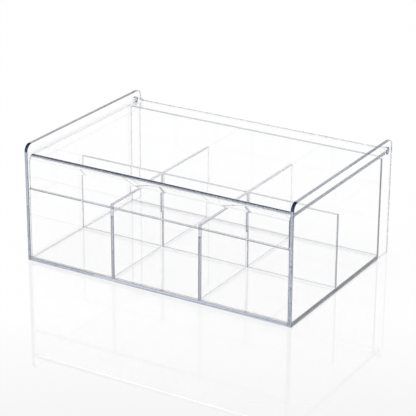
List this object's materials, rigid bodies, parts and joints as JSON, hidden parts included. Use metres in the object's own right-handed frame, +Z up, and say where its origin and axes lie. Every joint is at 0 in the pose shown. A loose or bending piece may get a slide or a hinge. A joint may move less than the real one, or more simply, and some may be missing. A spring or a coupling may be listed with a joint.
{
  "type": "tea bag box",
  "caption": "Clear sheet-plastic box with a crossing divider grid and a rear-hinged lid whose front is bent down into a flap; sorts tea bags in see-through compartments.",
  "frame": {"origin": "centre of the whole box's footprint, on the surface that it stands on", "axes": "+X to the right as seen from the front, +Y towards the hinge at the back, +Z up"},
  "size_m": [0.24, 0.165, 0.0985],
  "materials": {
    "clear_sheet": "clear cast acrylic sheet, glossy faces, blue-grey cut edges",
    "divider_sheet": "clear cast acrylic sheet, glossy faces, lavender-grey sawn edges",
    "bent_lid": "clear cast acrylic sheet, heat-bent, glossy all over",
    "clear_rod": "clear acrylic rod, polished ends"
  },
  "bodies": {
    "box": {"floor_panel": "clear_sheet", "front_panel": "clear_sheet", "back_panel": "clear_sheet", "left_side_panel": "clear_sheet", "right_side_panel": "clear_sheet", "long_divider": "divider_sheet", "left_cross_divider": "divider_sheet", "right_cross_divider": "divider_sheet"},
    "lid": {"lid": "bent_lid", "left_hinge_pin": "clear_rod", "right_hinge_pin": "clear_rod"}
  },
  "joints": [
    {"name": "lid_hinge", "type": "hinge", "parent": "box", "child": "lid", "pos_m": [0, 0.0739, 0.0905], "axis": [-1, 0, 0], "range_deg": [0, 115]}
  ]
}
